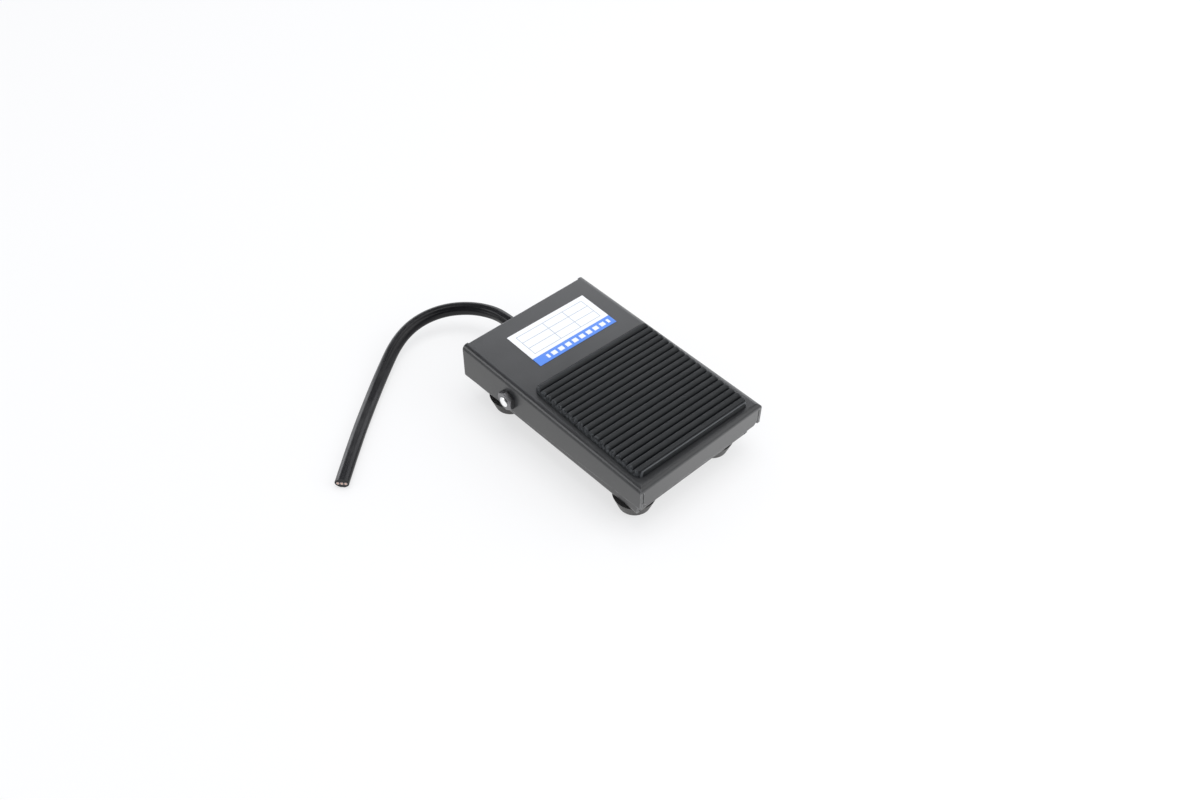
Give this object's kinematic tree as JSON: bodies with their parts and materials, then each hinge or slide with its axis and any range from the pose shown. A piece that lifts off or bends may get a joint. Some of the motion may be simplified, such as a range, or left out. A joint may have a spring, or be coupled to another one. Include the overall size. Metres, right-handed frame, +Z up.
{
  "type": "foot switch",
  "caption": "Foot switch with a folded steel pedal that tilts on a bolt over a base pan and works a snap-action switch.",
  "frame": {"origin": "on the floor under the middle of the pedal cover", "axes": "+Z up, +Y to the rear where the cord leaves, +X to the right of a user who looks towards +Y"},
  "size_m": [0.1276, 0.1364, 0.0271],
  "materials": {
    "powder_coat": "satin black powder coat",
    "tread_rubber": "smooth, slightly glossy",
    "foot_rubber": "matt",
    "sticker": "smooth film",
    "cord_jacket": "soft sheen",
    "core_ends": "cut ends",
    "wire_jacket": "smooth",
    "zinc_steel": "bright zinc plate",
    "spring_steel": "drawn wire",
    "switch_plastic": "moulded",
    "plunger_plastic": "moulded",
    "contact_brass": "stamped",
    "clamp_plastic": "moulded nylon"
  },
  "bodies": {
    "base": {"base_pan": "powder_coat", "foot_front_left": "foot_rubber", "foot_front_right": "foot_rubber", "foot_rear_left": "foot_rubber", "foot_rear_right": "foot_rubber", "foot_screws": "zinc_steel", "foot_washers": "zinc_steel", "foot_nuts": "zinc_steel", "pivot_bolt": "zinc_steel", "pivot_nut": "zinc_steel", "pivot_spacers": "zinc_steel", "pivot_sleeve": "zinc_steel", "spring_post": "zinc_steel", "return_spring": "spring_steel", "switch_bracket": "zinc_steel", "bracket_rivets": "zinc_steel", "switch_case": "switch_plastic", "switch_cover": "switch_plastic", "switch_terminals": "contact_brass", "switch_contacts": "contact_brass", "lever_pin": "zinc_steel", "switch_screws": "zinc_steel", "switch_nuts": "zinc_steel", "cord_grommet": "foot_rubber", "clamp_block": "clamp_plastic", "clamp_bar": "clamp_plastic", "clamp_screws": "zinc_steel", "cord_inner_end": "cord_jacket", "wires": "wire_jacket", "cord": "cord_jacket", "cord_cores": "core_ends"},
    "pedal": {"pedal_cover": "powder_coat", "tread_pad": "tread_rubber", "label": "sticker", "spring_guide": "zinc_steel", "press_stud": "zinc_steel"},
    "switch_lever": {"switch_lever": "spring_steel"},
    "switch_plunger": {"switch_plunger": "plunger_plastic"},
    "switch_blade": {"switch_blade": "contact_brass"}
  },
  "joints": [
    {"name": "pedal_pivot", "type": "hinge", "parent": "base", "child": "pedal", "pos_m": [0, 0.0215, 0.01638], "axis": [1, 0, 0], "range_deg": [0, 3.5], "stiffness_Nm_per_rad": 4, "springref_deg": -4.58, "deforming": ["return_spring"]},
    {"name": "lever_hinge", "type": "hinge", "parent": "base", "child": "switch_lever", "pos_m": [0, 0.009, 0.02031], "axis": [1, 0, 0], "range_deg": [0, 6.1]},
    {"name": "plunger_slide", "type": "slide", "parent": "base", "child": "switch_plunger", "axis": [0, 0, -1], "range_m": [0, 0.0006]},
    {"name": "blade_hinge", "type": "hinge", "parent": "base", "child": "switch_blade", "pos_m": [0, -0.0066, 0.01719], "axis": [1, 0, 0], "range_deg": [-3.4, 0]}
  ],
  "couplings": [
    {"joint": "lever_hinge", "follows": "pedal_pivot", "ratio": 1.7353},
    {"joint": "plunger_slide", "follows": "pedal_pivot", "m_per_rad": 0.009544},
    {"joint": "blade_hinge", "follows": "pedal_pivot", "ratio": -0.94496}
  ]
}
